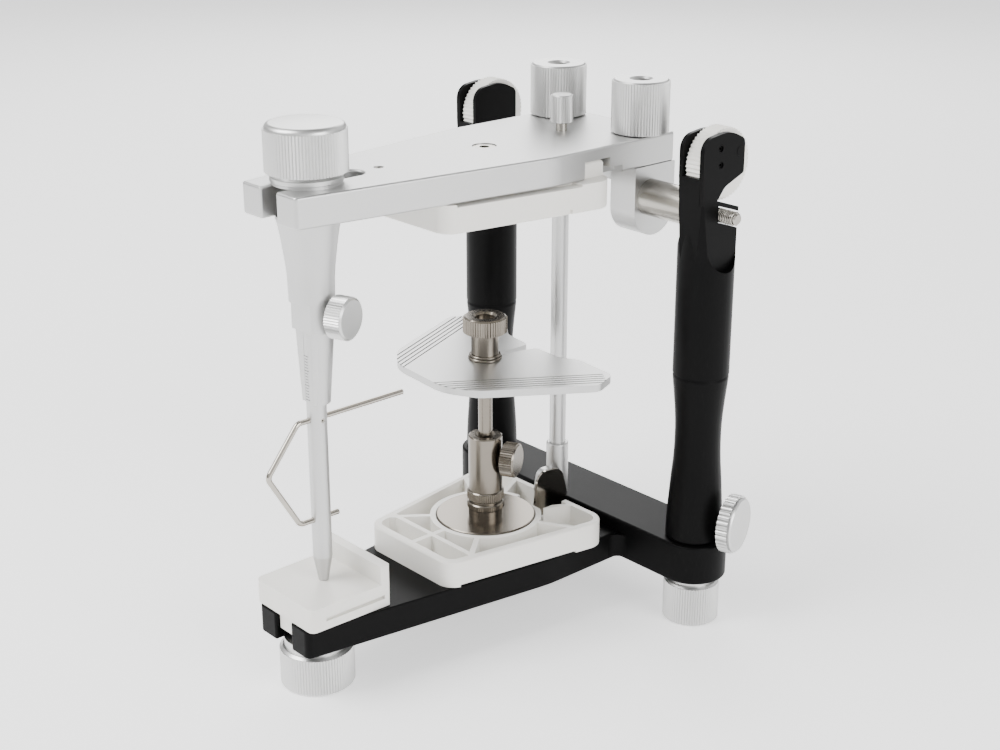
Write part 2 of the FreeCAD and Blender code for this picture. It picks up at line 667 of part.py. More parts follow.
def incisal_pin():
    pin = turned([(1.6, TABLE_TOP + 0.05), (1.75, TABLE_TOP + 0.4), (PIN_R, 46.0), (PIN_R, PIN_TOP)], 0, PIN_Y)
    for z in (WIRE_HIGH, WIRE_LOW):
        pin = pin.cut(bar_y(WIRE_R + RUNNING, PIN_Y - 5, PIN_Y + 5, 0, z))
    return pin.cut(bar_x(0.8, 1.0, 5.0, PIN_Y, WIRE_HIGH))


def set_screw():
    screw = bar_x(0.8, 1.1, PIN_R - 0.2, PIN_Y, WIRE_HIGH)
    return screw.cut(bar_x(0.35, PIN_R - 1.0, PIN_R, PIN_Y, WIRE_HIGH))


def wire_path():
    """Bent pointer in the middle plane, as (y, z) points from its long end to its short end."""
    return [(-89.6, WIRE_HIGH), (-132.8, WIRE_HIGH), (-145.4, 80.0), (-133.6, WIRE_LOW), (-118.0, WIRE_LOW)]


def pointer_wire():
    points = [vec(0, y, z) for y, z in wire_path()]
    bend = 2.6
    edges = []
    start = points[0]
    for before, corner, after in zip(points, points[1:], points[2:]):
        back = (before - corner).normalize()
        ahead = (after - corner).normalize()
        half = back.getAngle(ahead) / 2
        reach = bend / tan(half)
        first = corner + back * reach
        last = corner + ahead * reach
        middle = corner + (back + ahead).normalize() * (bend / sin(half) - bend)
        edges.append(Part.makeLine(start, first))
        edges.append(Part.Arc(first, middle, last).toShape())
        start = last
    edges.append(Part.makeLine(start, points[-1]))
    path = Part.Wire(edges)
    section = Part.Wire([Part.makeCircle(WIRE_R, points[0], vec(0, 1, 0))])
    return path.makePipeShell([section], True, False)


def holder_knob():
    shape = knob(7.1, 8.4, 14.9, 0.5).cut(post(1.5 + RUNNING, 8, 13))
    return aimed(shape, HOLDER_KNOB_TURN, 0, PIN_Y, HOLDER_KNOB_Z)


def holder_knob_stud():
    return aimed(post(1.5, PIN_R + GAP, 12.6), HOLDER_KNOB_TURN, 0, PIN_Y, HOLDER_KNOB_Z)


# ---------------------------------------------------------------- hanging rod

def rod_clevis():
    """Small fork under the upper frame, held by the thumb screw, in which the rod hangs."""
    body = box(-5.2, 5.2, THUMB_Y - 3.4, THUMB_Y + 3.4, PIVOT_Z - 3.0, PLATE_BOTTOM)
    body = body.cut(box(-3.3, 3.3, THUMB_Y - 5, THUMB_Y + 5, PIVOT_Z - 4, PLATE_BOTTOM - 1.8))
    body = body.cut(post(2.0, PLATE_BOTTOM - 1.5, PLATE_BOTTOM + 1, 0, THUMB_Y))
    return body.cut(bar_x(1.2, -6, 6, THUMB_Y, PIVOT_Z))


def rod_pin():
    return bar_x(1.2, -5.2, 5.2, THUMB_Y, PIVOT_Z)


def hanging_rod():
    rod = post(ROD_R, 45.0, PIVOT_Z - 3.4, 0, THUMB_Y)
    eye = box(-2.9, 2.9, THUMB_Y - 2.2, THUMB_Y + 2.2, PIVOT_Z - 4.0, PIVOT_Z)
    rod = fuse(rod, eye, bar_x(2.2, -2.9, 2.9, THUMB_Y, PIVOT_Z))
    return rod.cut(bar_x(1.2 + RUNNING, -4, 4, THUMB_Y, PIVOT_Z))


def rod_shoe():
    """Sleeve on the rod's foot with a lobe that carries the steel paddle."""
    sleeve = post(4.1, 36.5, SHOE_TOP, 0, THUMB_Y)
    sleeve = sleeve.makeFillet(0.6, level_edges(sleeve, SHOE_TOP))
    lobe = side_slab([(-27.0, 37.5, 2.5), (-15.0, 36.5, 0), (-15.0, 47.0, 0), (-25.0, 47.0, 3.0)], -1.6, 3.2)
    shoe = fuse(sleeve, lobe, bar_x(1.3, 3.0, 4.2, -23.0, 42.0))
    return shoe.cut(post(ROD_R, 45.0, SHOE_TOP + 1, 0, THUMB_Y))


def paddle():
    """Thin polished steel tongue on the shoe."""
    return side_slab([(-32.6, 32.4, 2.0), (-30.6, 49.4, 4.5), (-18.6, 48.2, 5.5), (-15.2, 35.6, 3.0),
                      (-24.6, 30.9, 6.0)], 4.2, 5.2)


# ---------------------------------------------------------------- occlusal plane stand

def stand_disc():
    disc = turned([(DISC_R - 0.4, 36.5), (DISC_R, 36.8), (DISC_R, 38.2), (DISC_R - 0.3, 38.5), (6.2, 38.5),
                   (6.2, 41.0)], 0, DISC_Y)
    return disc.cut(post(3.0, 39.0, 42.0, 0, DISC_Y))


def stand_rings():
    """Knurled locking rings at the column's foot."""
    rings = []
    for z0, z1 in ((41.1, 43.6), (44.6, 48.3)):
        rings.append(knob(6.55, z0, z1, 0.4, 0, DISC_Y))
    neck = post(5.6, 43.6, 44.6, 0, DISC_Y)
    return fuse(rings[0], neck, rings[1]).cut(post(3.0 + RUNNING, 40, 50, 0, DISC_Y))


def stand_column():
    column = turned([(COLUMN_R, 48.4), (COLUMN_R, COLUMN_TOP - 0.4), (COLUMN_R - 0.4, COLUMN_TOP)], 0, DISC_Y)
    column = column.fuse(post(3.0, 39.0, 49.0, 0, DISC_Y)).removeSplitter()
    column = column.cut(post(STAND_ROD_R + RUNNING, 40.0, COLUMN_TOP + 1, 0, DISC_Y))
    column = column.cut(cone(STAND_ROD_R, STAND_ROD_R + 1.2, COLUMN_TOP - 1.2, COLUMN_TOP + 0.001, 0, DISC_Y))
    return column.cut(aimed(post(1.5, 0, 8), STAND_KNOB_TURN, 0, DISC_Y, STAND_KNOB_Z))


def stand_knob():
    shape = knob(6.3, 7.2, 12.6, 0.5).cut(post(1.5 + RUNNING, 6, 11))
    return aimed(shape, STAND_KNOB_TURN, 0, DISC_Y, STAND_KNOB_Z)


def stand_knob_stud():
    return aimed(post(1.5, STAND_ROD_R + GAP, 10.6), STAND_KNOB_TURN, 0, DISC_Y, STAND_KNOB_Z)


def stand_rod():
    low = post(STAND_ROD_R, 57.0, PLATFORM_TOP - PLATFORM_THICK, 0, DISC_Y)
    return low.fuse(post(2.0, PLATFORM_TOP - PLATFORM_THICK, 112.0, 0, DISC_Y)).removeSplitter()


def platform_corners():
    """Half outline of the winged platform about the rod's axis, from the front to the slit at the back."""
    return [(25.0, -20.5, 8.0), (44.5, 15.5, 4.5), (39.5, 25.4, 4.0), (21.0, 25.4, 6.0), (15.0, 21.4, 6.0),
            (2.3, 20.8, 2.0)]


def occlusal_platform():
    """Flat winged plate with a slit at the back and ruled grooves along its front edges."""
    half = platform_corners()
    front = [(-14.0, -28.0, 18.0), (14.0, -28.0, 18.0)]
    slit = [(0.9, 7.0, 0.8), (-0.9, 7.0, 0.8)]
    outline = front + half + slit + [(-x, y, r) for x, y, r in half[::-1]]
    top = PLATFORM_THICK
    plate = slab(outline, 0, top)
    start, end = vec(25.0, -20.5, 0), vec(44.5, 15.5, 0)
    along = (end - start).normalize()
    inward = vec(-along.y, along.x, 0)
    for k in range(5):
        groove = box(-16.0, 44.0, -0.3, 0.3, top - 0.35, top + 1)
        groove.rotate(vec(0, 0, 0), vec(0, 0, 1), along.getAngle(vec(1, 0, 0)) * 180 / pi)
        groove.translate(start + inward * (2.4 + 1.9 * k))
        groove = groove.common(box(1.5 + 1.2 * k, 60, -60, 60, 0, top + 2))
        plate = plate.cut(groove).cut(mirrored(groove))
    plate = plate.cut(post(2.0 + RUNNING, -1, top + 1))
    plate.rotate(vec(0, 0, 0), vec(0, 0, 1), PLATFORM_TURN)
    plate.translate(vec(0, DISC_Y, PLATFORM_TOP - PLATFORM_THICK))
    return plate


def platform_washers():
    rings = []
    for r, z0, z1 in ((6.0, 0.0, 1.0), (5.6, 1.0, 1.9)):
        ring = knob(r, PLATFORM_TOP + z0, PLATFORM_TOP + z1, 0.25, 0, DISC_Y)
        rings.append(ring.cut(post(2.0 + RUNNING, PLATFORM_TOP - 1, PLATFORM_TOP + 3, 0, DISC_Y)))
    return fuse(*rings)


def cap_nut():
    z = PLATFORM_TOP + 1.9
    nut = turned([(4.9, z), (4.9, z + 6.3), (7.4, z + 6.6), (7.8, z + 7.0), (7.8, z + 13.4), (7.3, z + 13.9)], 0, DISC_Y)
    nut = nut.cut(post(3.5, z + 11.8, z + 15, 0, DISC_Y))
    nut = nut.cut(post(2.0 + RUNNING, z - 1, z + 11.6, 0, DISC_Y))
    return nut.cut(aimed(post(0.9, -8, 8), -52.0, 0, DISC_Y, z + 3.6))


# ---------------------------------------------------------------- writing the pieces

def pieces():
    """Every node's name and shape."""
    found = {"lower_frame": lower_frame(), "post_base_right": post_base_right(), "post_base_left": mirrored(post_base())}
    pairs = {
        "post_head": post_head,
        "guide_cheek": guide_cheek,
        "guide_dial": guide_dial,
        "rear_foot": rear_foot,
        "rear_knob": rear_knob,
    }
    for name, make in pairs.items():
        found[name + "_right"], found[name + "_left"] = both(make)
    shared = {
        "post_studs": post_studs,
        "dial_axles": dial_axle,
        "condylar_shafts": condylar_shaft,
        "shaft_collars": shaft_collar,
        "shaft_threads": shaft_thread,
        "rear_knob_studs": rear_knob_stud,
    }
    for name, make in shared.items():
        found[name] = group(*both(make))
    found["cheek_screws"] = group(*cheek_screws(), *cheek_rivets())
    single = {
        "side_knob": side_knob,
        "side_knob_stud": side_knob_stud,
        "incisal_table": incisal_table,
        "table_stud": table_stud,
        "front_foot": front_foot,
        "lower_mounting_plate": lower_mounting_plate,
        "lower_plate_disc": lower_plate_disc,
        "upper_mounting_plate": upper_mounting_plate,
        "upper_plate_disc": upper_plate_disc,
        "upper_frame": upper_frame,
        "hinge_block": hinge_block,
        "front_knob": front_knob,
        "front_washer": front_washer,
        "holder_stud": holder_stud,
        "thumb_knob": thumb_knob,
        "thumb_stud": thumb_stud,
        "pin_holder": pin_holder,
        "incisal_pin": incisal_pin,
        "pin_set_screw": set_screw,
        "pointer_wire": pointer_wire,
        "holder_knob": holder_knob,
        "holder_knob_stud": holder_knob_stud,
        "rod_clevis": rod_clevis,
        "rod_pin": rod_pin,
        "hanging_rod": hanging_rod,
        "rod_shoe": rod_shoe,
        "rod_paddle": paddle,
        "stand_disc": stand_disc,
        "stand_rings": stand_rings,
        "stand_column": stand_column,
        "stand_knob": stand_knob,
        "stand_knob_stud": stand_knob_stud,
        "stand_rod": stand_rod,
        "occlusal_platform": occlusal_platform,
        "platform_washers": platform_washers,
        "cap_nut": cap_nut,
    }
    for name, make in single.items():
        found[name] = make()
    found["lower_plate_screw"] = plate_screw(BEAM_BOTTOM + 0.2, TONGUE_TOP + 4.4)
    found["upper_plate_screws"] = group(plate_screw(PLATE_TOP - 0.3, PLATE_BOTTOM - 4.5), centre_plug())
    return found


def main():
    os.makedirs("parts", exist_ok=True)
    for name, shape in pieces().items():
        shape.translate(vec(AXIS_X, AXIS_Y, 0))
        shape.exportStep("parts/" + name + ".step")


main()
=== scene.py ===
"""Looks of the dental articulator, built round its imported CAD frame.

Knobs, feet, dials, threads and scales are rebuilt with their knurls, ribs, turns and ticks; the other CAD pieces
keep their shape and take procedural finishes.
"""

import json
import logging
import math
from dataclasses import dataclass, field
from enum import Enum
from typing import Optional

import bpy
import bmesh
from mathutils import Matrix, Vector


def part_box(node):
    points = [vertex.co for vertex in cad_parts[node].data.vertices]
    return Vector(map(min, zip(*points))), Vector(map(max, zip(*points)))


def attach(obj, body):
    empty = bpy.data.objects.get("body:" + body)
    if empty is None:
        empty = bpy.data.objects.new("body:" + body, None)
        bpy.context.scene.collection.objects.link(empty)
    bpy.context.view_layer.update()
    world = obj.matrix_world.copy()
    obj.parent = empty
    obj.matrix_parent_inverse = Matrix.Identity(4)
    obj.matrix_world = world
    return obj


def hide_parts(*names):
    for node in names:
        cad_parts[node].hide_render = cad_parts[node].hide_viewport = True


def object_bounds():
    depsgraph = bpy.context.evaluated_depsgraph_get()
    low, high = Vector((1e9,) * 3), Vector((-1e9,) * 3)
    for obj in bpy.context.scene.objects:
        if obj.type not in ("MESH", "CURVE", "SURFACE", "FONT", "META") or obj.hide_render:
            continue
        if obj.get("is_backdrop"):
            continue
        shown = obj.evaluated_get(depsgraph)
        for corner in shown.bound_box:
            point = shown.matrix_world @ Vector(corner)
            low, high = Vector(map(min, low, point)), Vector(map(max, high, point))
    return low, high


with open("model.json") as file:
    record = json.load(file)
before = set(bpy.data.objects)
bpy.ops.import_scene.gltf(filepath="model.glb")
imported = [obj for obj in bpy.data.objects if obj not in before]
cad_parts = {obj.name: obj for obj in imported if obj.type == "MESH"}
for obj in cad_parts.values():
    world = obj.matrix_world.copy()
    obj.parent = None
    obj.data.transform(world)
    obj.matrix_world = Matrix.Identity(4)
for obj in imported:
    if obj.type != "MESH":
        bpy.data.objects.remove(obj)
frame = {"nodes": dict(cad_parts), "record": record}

logging.basicConfig(level=logging.INFO, format="%(message)s")
LOG = logging.getLogger("articulator")
MM = 0.001


# ---------------------------------------------------------------- finishes

class Grain(Enum):
    """How a surface is worked."""

    BLASTED = "blasted"
    TURNED = "turned"
    MOULDED = "moulded"
    POLISHED = "polished"


@dataclass(frozen=True)
class Finish:
    """One procedural finish.

    Args:
        name: the material's name.
        grain: how the surface is worked.
        colour: linear base colour.
        shade: linear colour of the surface's darker patches.
        metallic: Principled metallic value.
        rough: mean roughness.
        spread: how far the roughness varies.
        scale: grain per metre.
        bump: height of the grain in metres.
        coat: coat weight.
        soft: subsurface weight.
        gloss: specular level.
        stretch: grain scale along each object axis.
    """

    name: str
    grain: Grain
    colour: tuple[float, float, float]
    shade: tuple[float, float, float]
    metallic: float
    rough: float
    spread: float
    scale: float
    bump: float
    coat: float = 0.0
    soft: float = 0.0
    gloss: float = 0.5
    stretch: tuple[float, float, float] = (1.0, 1.0, 1.0)


FINISHES: dict[str, Finish] = {
    f.name: f
    for f in (
        Finish("black_anodised", Grain.BLASTED, (0.003, 0.003, 0.0031), (0.0016, 0.0016, 0.0017), 0.0, 0.40, 0.12,
               2600.0, 0.000014, gloss=0.06),
        Finish("silver_anodised", Grain.BLASTED, (0.60, 0.60, 0.595), (0.50, 0.50, 0.495), 1.0, 0.40, 0.12,
               3000.0, 0.000010),
        Finish("turned_aluminium", Grain.TURNED, (0.66, 0.66, 0.65), (0.55, 0.55, 0.545), 1.0, 0.36, 0.10,
               900.0, 0.000006, stretch=(1.0, 1.0, 8.0)),
        Finish("white_moulded", Grain.MOULDED, (0.80, 0.785, 0.745), (0.75, 0.73, 0.68), 0.0, 0.42, 0.10,
               700.0, 0.000012, coat=0.06, soft=0.06),
        Finish("stainless", Grain.TURNED, (0.46, 0.44, 0.40), (0.30, 0.285, 0.255), 1.0, 0.26, 0.12,
               500.0, 0.000005, stretch=(14.0, 1.0, 1.0)),
        Finish("polished_steel", Grain.POLISHED, (0.46, 0.43, 0.385), (0.38, 0.355, 0.315), 1.0, 0.14, 0.06,
               300.0, 0.000002),
        Finish("nickel", Grain.POLISHED, (0.24, 0.215, 0.182), (0.17, 0.153, 0.13), 1.0, 0.24, 0.10,
               400.0, 0.000003, stretch=(1.0, 1.0, 9.0)),
        # Darker copies of the knurled finishes, painted shade for the roots between the ridges.
        Finish("knurl_root_painted_shade", Grain.TURNED, (0.42, 0.42, 0.415), (0.30, 0.30, 0.30), 1.0, 0.5, 0.10,
               900.0, 0.000006),
        Finish("nickel_root_painted_shade", Grain.TURNED, (0.15, 0.135, 0.115), (0.10, 0.09, 0.08), 1.0, 0.45, 0.10,
               900.0, 0.000006),
        Finish("white_root_painted_shade", Grain.MOULDED, (0.50, 0.485, 0.45), (0.42, 0.41, 0.38), 0.0, 0.55, 0.10,
               700.0, 0.000012),
        # Darker metal painted as shade on the floors of the platform's grooves.
        Finish("painted_shade_groove_floor", Grain.BLASTED, (0.40, 0.40, 0.39), (0.33, 0.33, 0.325), 1.0, 0.5, 0.10,
               3000.0, 0.000010),
        Finish("dark_ink", Grain.MOULDED, (0.02, 0.02, 0.022), (0.03, 0.03, 0.03), 0.0, 0.6, 0.1,
               1500.0, 0.000002),
    )
}


# CAD nodes of the stand, which are warmer than the rest of their record slot.
NICKEL_NODES = ("stand_column", "stand_disc", "stand_rod", "stand_rings", "platform_washers")
# Painted shade between the ridges: the darker copy of each knurled finish that colours the ridge roots.
PAINTED_SHADE_ROOTS = {"turned_aluminium": "knurl_root_painted_shade", "nickel": "nickel_root_painted_shade", "white_moulded": "white_root_painted_shade"}
# Record slot of a finish that has another name.
SLOTS = {"nickel": "stainless"}


class FinishLibrary:
    """Makes and keeps the materials, which share one node group for wear and grain."""

    def __init__(self) -> None:
        self.group = self._surface_group()
        self.made: dict[str, bpy.types.Material] = {}

    @staticmethod
    def _surface_group() -> bpy.types.ShaderNodeTree:
        """Node group that turns object coordinates into colour, roughness and grain height.

        Returns:
            The shared group.
        """
        tree = bpy.data.node_groups.new("SurfaceDetail", "ShaderNodeTree")
        face = tree.interface
        for name, kind in (("Colour", "NodeSocketColor"), ("Shade", "NodeSocketColor"), ("Rough", "NodeSocketFloat"),
                           ("Spread", "NodeSocketFloat"), ("Scale", "NodeSocketFloat"),
                           ("Stretch", "NodeSocketVector")):
            face.new_socket(name, in_out="INPUT", socket_type=kind)
        for name, kind in (("Colour", "NodeSocketColor"), ("Rough", "NodeSocketFloat"),
                           ("Height", "NodeSocketFloat")):
            face.new_socket(name, in_out="OUTPUT", socket_type=kind)
        nodes, links = tree.nodes, tree.links
        start, end = nodes.new("NodeGroupInput"), nodes.new("NodeGroupOutput")
        place = nodes.new("ShaderNodeTexCoord")
        stretch = nodes.new("ShaderNodeVectorMath")
        stretch.operation = "MULTIPLY"
        links.new(place.outputs["Object"], stretch.inputs[0])
        links.new(start.outputs["Stretch"], stretch.inputs[1])
        grain = nodes.new("ShaderNodeTexNoise")
        grain.inputs["Detail"].default_value = 3.0
        links.new(stretch.outputs[0], grain.inputs["Vector"])
        links.new(start.outputs["Scale"], grain.inputs["Scale"])
        cloud = nodes.new("ShaderNodeTexNoise")
        cloud.inputs["Scale"].default_value = 45.0
        cloud.inputs["Detail"].default_value = 5.0
        cloud.inputs["Roughness"].default_value = 0.6
        links.new(place.outputs["Object"], cloud.inputs["Vector"])
        blend = nodes.new("ShaderNodeMath")
        blend.operation = "MULTIPLY_ADD"
        blend.inputs[1].default_value = 0.55
        links.new(grain.outputs["Fac"], blend.inputs[0])
        half = nodes.new("ShaderNodeMath")
        half.operation = "MULTIPLY"
        half.inputs[1].default_value = 0.45
        links.new(cloud.outputs["Fac"], half.inputs[0])
        links.new(half.outputs[0], blend.inputs[2])
        mix = nodes.new("ShaderNodeMix")
        mix.data_type = "RGBA"
        links.new(blend.outputs[0], mix.inputs["Factor"])
        links.new(start.outputs["Shade"], mix.inputs["A"])
        links.new(start.outputs["Colour"], mix.inputs["B"])
        links.new(mix.outputs["Result"], end.inputs["Colour"])
        centred = nodes.new("ShaderNodeMath")
        centred.operation = "SUBTRACT"
        centred.inputs[1].default_value = 0.5
        links.new(blend.outputs[0], centred.inputs[0])
        rough = nodes.new("ShaderNodeMath")
        rough.operation = "MULTIPLY_ADD"
        links.new(centred.outputs[0], rough.inputs[0])
        links.new(start.outputs["Spread"], rough.inputs[1])
        links.new(start.outputs["Rough"], rough.inputs[2])
        links.new(rough.outputs[0], end.inputs["Rough"])
        links.new(grain.outputs["Fac"], end.inputs["Height"])
        return tree

    def get(self, name: str) -> bpy.types.Material:
        """The material of one finish, made the first time it is asked for.

        Args:
            name: a key of FINISHES.

        Returns:
            The material.
        """
        if name not in self.made:
            self.made[name] = self._make(FINISHES[name])
        return self.made[name]

    def _make(self, finish: Finish) -> bpy.types.Material:
        """Set up one Principled material with the shared detail group."""
        material = bpy.data.materials.new(finish.name)
        LOG.info("material %s, %s", finish.name, finish.grain.value)
        material.use_nodes = True
        nodes, links = material.node_tree.nodes, material.node_tree.links
        shader = nodes["Principled BSDF"]
        detail = nodes.new("ShaderNodeGroup")
        detail.node_tree = self.group
        detail.inputs["Colour"].default_value = (*finish.colour, 1.0)
        detail.inputs["Shade"].default_value = (*finish.shade, 1.0)
        detail.inputs["Rough"].default_value = finish.rough
        detail.inputs["Spread"].default_value = finish.spread
        detail.inputs["Scale"].default_value = finish.scale
        detail.inputs["Stretch"].default_value = finish.stretch
        bump = nodes.new("ShaderNodeBump")
        bump.inputs["Strength"].default_value = 0.5
        bump.inputs["Distance"].default_value = finish.bump
        links.new(detail.outputs["Height"], bump.inputs["Height"])
        links.new(detail.outputs["Colour"], shader.inputs["Base Color"])
        links.new(detail.outputs["Rough"], shader.inputs["Roughness"])
        links.new(bump.outputs["Normal"], shader.inputs["Normal"])
        shader.inputs["Metallic"].default_value = finish.metallic
        shader.inputs["Specular IOR Level"].default_value = finish.gloss
        shader.inputs["Coat Weight"].default_value = finish.coat
        shader.inputs["Coat Roughness"].default_value = 0.3
        shader.inputs["Subsurface Weight"].default_value = finish.soft
        shader.inputs["Subsurface Radius"].default_value = (1.0, 0.8, 0.6)
        shader.inputs["Subsurface Scale"].default_value = 0.001
        material.diffuse_color = (*finish.colour, 1.0)
        return material


# ---------------------------------------------------------------- geometry node trees

@dataclass
class NodeKit:
    """A geometry node tree under construction.

    Args:
        name: the tree's name.
    """

    name: str
    tree: bpy.types.GeometryNodeTree = field(init=False)

    def __post_init__(self) -> None:
        self.tree = bpy.data.node_groups.new(self.name, "GeometryNodeTree")
        self.tree.interface.new_socket("Geometry", in_out="OUTPUT", socket_type="NodeSocketGeometry")
        self.tree.interface.new_socket("Geometry", in_out="INPUT", socket_type="NodeSocketGeometry")
        self.start = self.tree.nodes.new("NodeGroupInput")
        self.end = self.tree.nodes.new("NodeGroupOutput")

    def want(self, name: str, kind: str) -> None:
        """Add a named input."""
        self.tree.interface.new_socket(name, in_out="INPUT", socket_type=kind)

    def add(self, kind: str, **values) -> bpy.types.Node:
        """Add a node and set its plain properties."""
        node = self.tree.nodes.new(kind)
        for key, value in values.items():
            setattr(node, key, value)
        return node

    def link(self, source, target) -> None:
        """Join two sockets."""
        self.tree.links.new(source, target)

    def maths(self, operation: str, *terms) -> bpy.types.NodeSocket:
        """A maths node on sockets or numbers.

        Returns:
            Its output socket.
        """
        node = self.add("ShaderNodeMath", operation=operation)
        for socket, term in zip(node.inputs, terms):
            if isinstance(term, (int, float)):
                socket.default_value = term
            else:
                self.link(term, socket)
        return node.outputs[0]

    def vector(self, x=0.0, y=0.0, z=0.0) -> bpy.types.NodeSocket:
        """A vector made from sockets or numbers.

        Returns:
            Its output socket.
        """
        node = self.add("ShaderNodeCombineXYZ")
        for socket, term in zip(node.inputs, (x, y, z)):
            if isinstance(term, (int, float)):
                socket.default_value = term
            else:
                self.link(term, socket)
        return node.outputs[0]

    def finish_with(self, geometry: bpy.types.NodeSocket) -> None:
        """Realise the made geometry, give it the material and join it to what came in.

        Args:
            geometry: socket of the made geometry.
        """
        realise = self.add("GeometryNodeRealizeInstances")
        self.link(geometry, realise.inputs[0])
        paint = self.add("GeometryNodeSetMaterial")
        self.link(realise.outputs[0], paint.inputs["Geometry"])
        self.link(self.start.outputs["Material"], paint.inputs["Material"])
        join = self.add("GeometryNodeJoinGeometry")
        self.link(paint.outputs[0], join.inputs[0])
        self.link(self.start.outputs["Geometry"], join.inputs[0])
        self.link(join.outputs[0], self.end.inputs[0])


def ridge_ring_tree() -> bpy.types.GeometryNodeTree:
    """Ridges set round the Z axis, each a prism sunk into the core.

    Returns:
        The tree, with inputs Count, Radius, Low, High, Depth, Width, Sides and Material.
    """
    kit = NodeKit("RidgeRing")
    for name, kind in (("Count", "NodeSocketInt"), ("Radius", "NodeSocketFloat"), ("Low", "NodeSocketFloat"),
                       ("High", "NodeSocketFloat"), ("Depth", "NodeSocketFloat"), ("Width", "NodeSocketFloat"),
                       ("Sides", "NodeSocketInt"), ("Material", "NodeSocketMaterial")):
        kit.want(name, kind)
    get = kit.start.outputs
    circle = kit.add("GeometryNodeMeshCircle")
    kit.link(get["Count"], circle.inputs["Vertices"])
    kit.link(kit.maths("SUBTRACT", get["Radius"], get["Depth"]), circle.inputs["Radius"])
    prism = kit.add("GeometryNodeMeshCylinder")
    prism.inputs["Radius"].default_value = 1.0
    kit.link(get["Sides"], prism.inputs["Vertices"])
    kit.link(kit.maths("SUBTRACT", get["High"], get["Low"]), prism.inputs["Depth"])
    spot = kit.add("GeometryNodeInputPosition")
    split = kit.add("ShaderNodeSeparateXYZ")
    kit.link(spot.outputs[0], split.inputs[0])
    angle = kit.maths("ARCTAN2", split.outputs[1], split.outputs[0])
    instance = kit.add("GeometryNodeInstanceOnPoints")
    kit.link(circle.outputs[0], instance.inputs["Points"])
    kit.link(prism.outputs[0], instance.inputs["Instance"])
    kit.link(kit.vector(0.0, 0.0, angle), instance.inputs["Rotation"])
    kit.link(kit.vector(get["Depth"], get["Width"], 1.0), instance.inputs["Scale"])
    middle = kit.maths("MULTIPLY", kit.maths("ADD", get["High"], get["Low"]), 0.5)
    lift = kit.add("GeometryNodeTransform")
    kit.link(instance.outputs[0], lift.inputs["Geometry"])
    kit.link(kit.vector(0.0, 0.0, middle), lift.inputs["Translation"])
    kit.finish_with(lift.outputs[0])
    return kit.tree


def thread_tree() -> bpy.types.GeometryNodeTree:
    """A helical crest round the Z axis.

    Returns:
        The tree, with inputs Radius, Low, High, Pitch, Crest and Material.
    """
    kit = NodeKit("Thread")
    for name, kind in (("Radius", "NodeSocketFloat"), ("Low", "NodeSocketFloat"), ("High", "NodeSocketFloat"),
                       ("Pitch", "NodeSocketFloat"), ("Crest", "NodeSocketFloat"),
                       ("Material", "NodeSocketMaterial")):
        kit.want(name, kind)
    get = kit.start.outputs
    length = kit.maths("SUBTRACT", get["High"], get["Low"])
    spiral = kit.add("GeometryNodeCurveSpiral")
    spiral.inputs["Resolution"].default_value = 40
    kit.link(kit.maths("DIVIDE", length, get["Pitch"]), spiral.inputs["Rotations"])
    inner = kit.maths("SUBTRACT", get["Radius"], get["Crest"])
    kit.link(inner, spiral.inputs["Start Radius"])
    kit.link(inner, spiral.inputs["End Radius"])
    kit.link(length, spiral.inputs["Height"])
    section = kit.add("GeometryNodeCurvePrimitiveCircle")
    section.inputs["Resolution"].default_value = 4
    kit.link(get["Crest"], section.inputs["Radius"])
    sweep = kit.add("GeometryNodeCurveToMesh")
    kit.link(spiral.outputs[0], sweep.inputs["Curve"])
    kit.link(section.outputs[0], sweep.inputs["Profile Curve"])
    sweep.inputs["Fill Caps"].default_value = True
    lift = kit.add("GeometryNodeTransform")
    kit.link(sweep.outputs[0], lift.inputs["Geometry"])
    kit.link(kit.vector(0.0, 0.0, get["Low"]), lift.inputs["Translation"])
    kit.finish_with(lift.outputs[0])
    return kit.tree


def tick_tree() -> bpy.types.GeometryNodeTree:
    """A row of ticks up the Z axis, every fifth one longer.

    Returns:
        The tree, with inputs Count, Pitch, Length, Line, Relief and Material.
    """
    kit = NodeKit("TickRow")
    for name, kind in (("Count", "NodeSocketInt"), ("Pitch", "NodeSocketFloat"), ("Length", "NodeSocketFloat"),
                       ("Line", "NodeSocketFloat"), ("Relief", "NodeSocketFloat"),
                       ("Material", "NodeSocketMaterial")):
        kit.want(name, kind)
    get = kit.start.outputs
    row = kit.add("GeometryNodeMeshLine")
    kit.link(get["Count"], row.inputs["Count"])
    kit.link(kit.vector(0.0, 0.0, get["Pitch"]), row.inputs["Offset"])
    block = kit.add("GeometryNodeMeshCube")
    kit.link(kit.vector(get["Length"], get["Relief"], get["Line"]), block.inputs["Size"])
    index = kit.add("GeometryNodeInputIndex")
    fifth = kit.maths("COMPARE", kit.maths("MODULO", index.outputs[0], 5.0), 0.0, 0.1)
    longer = kit.maths("MULTIPLY_ADD", fifth, 0.6, 1.0)
    instance = kit.add("GeometryNodeInstanceOnPoints")
    kit.link(row.outputs[0], instance.inputs["Points"])
    kit.link(block.outputs[0], instance.inputs["Instance"])
    kit.link(kit.vector(longer, 1.0, 1.0), instance.inputs["Scale"])
    kit.finish_with(instance.outputs[0])
    return kit.tree


# ---------------------------------------------------------------- building helpers

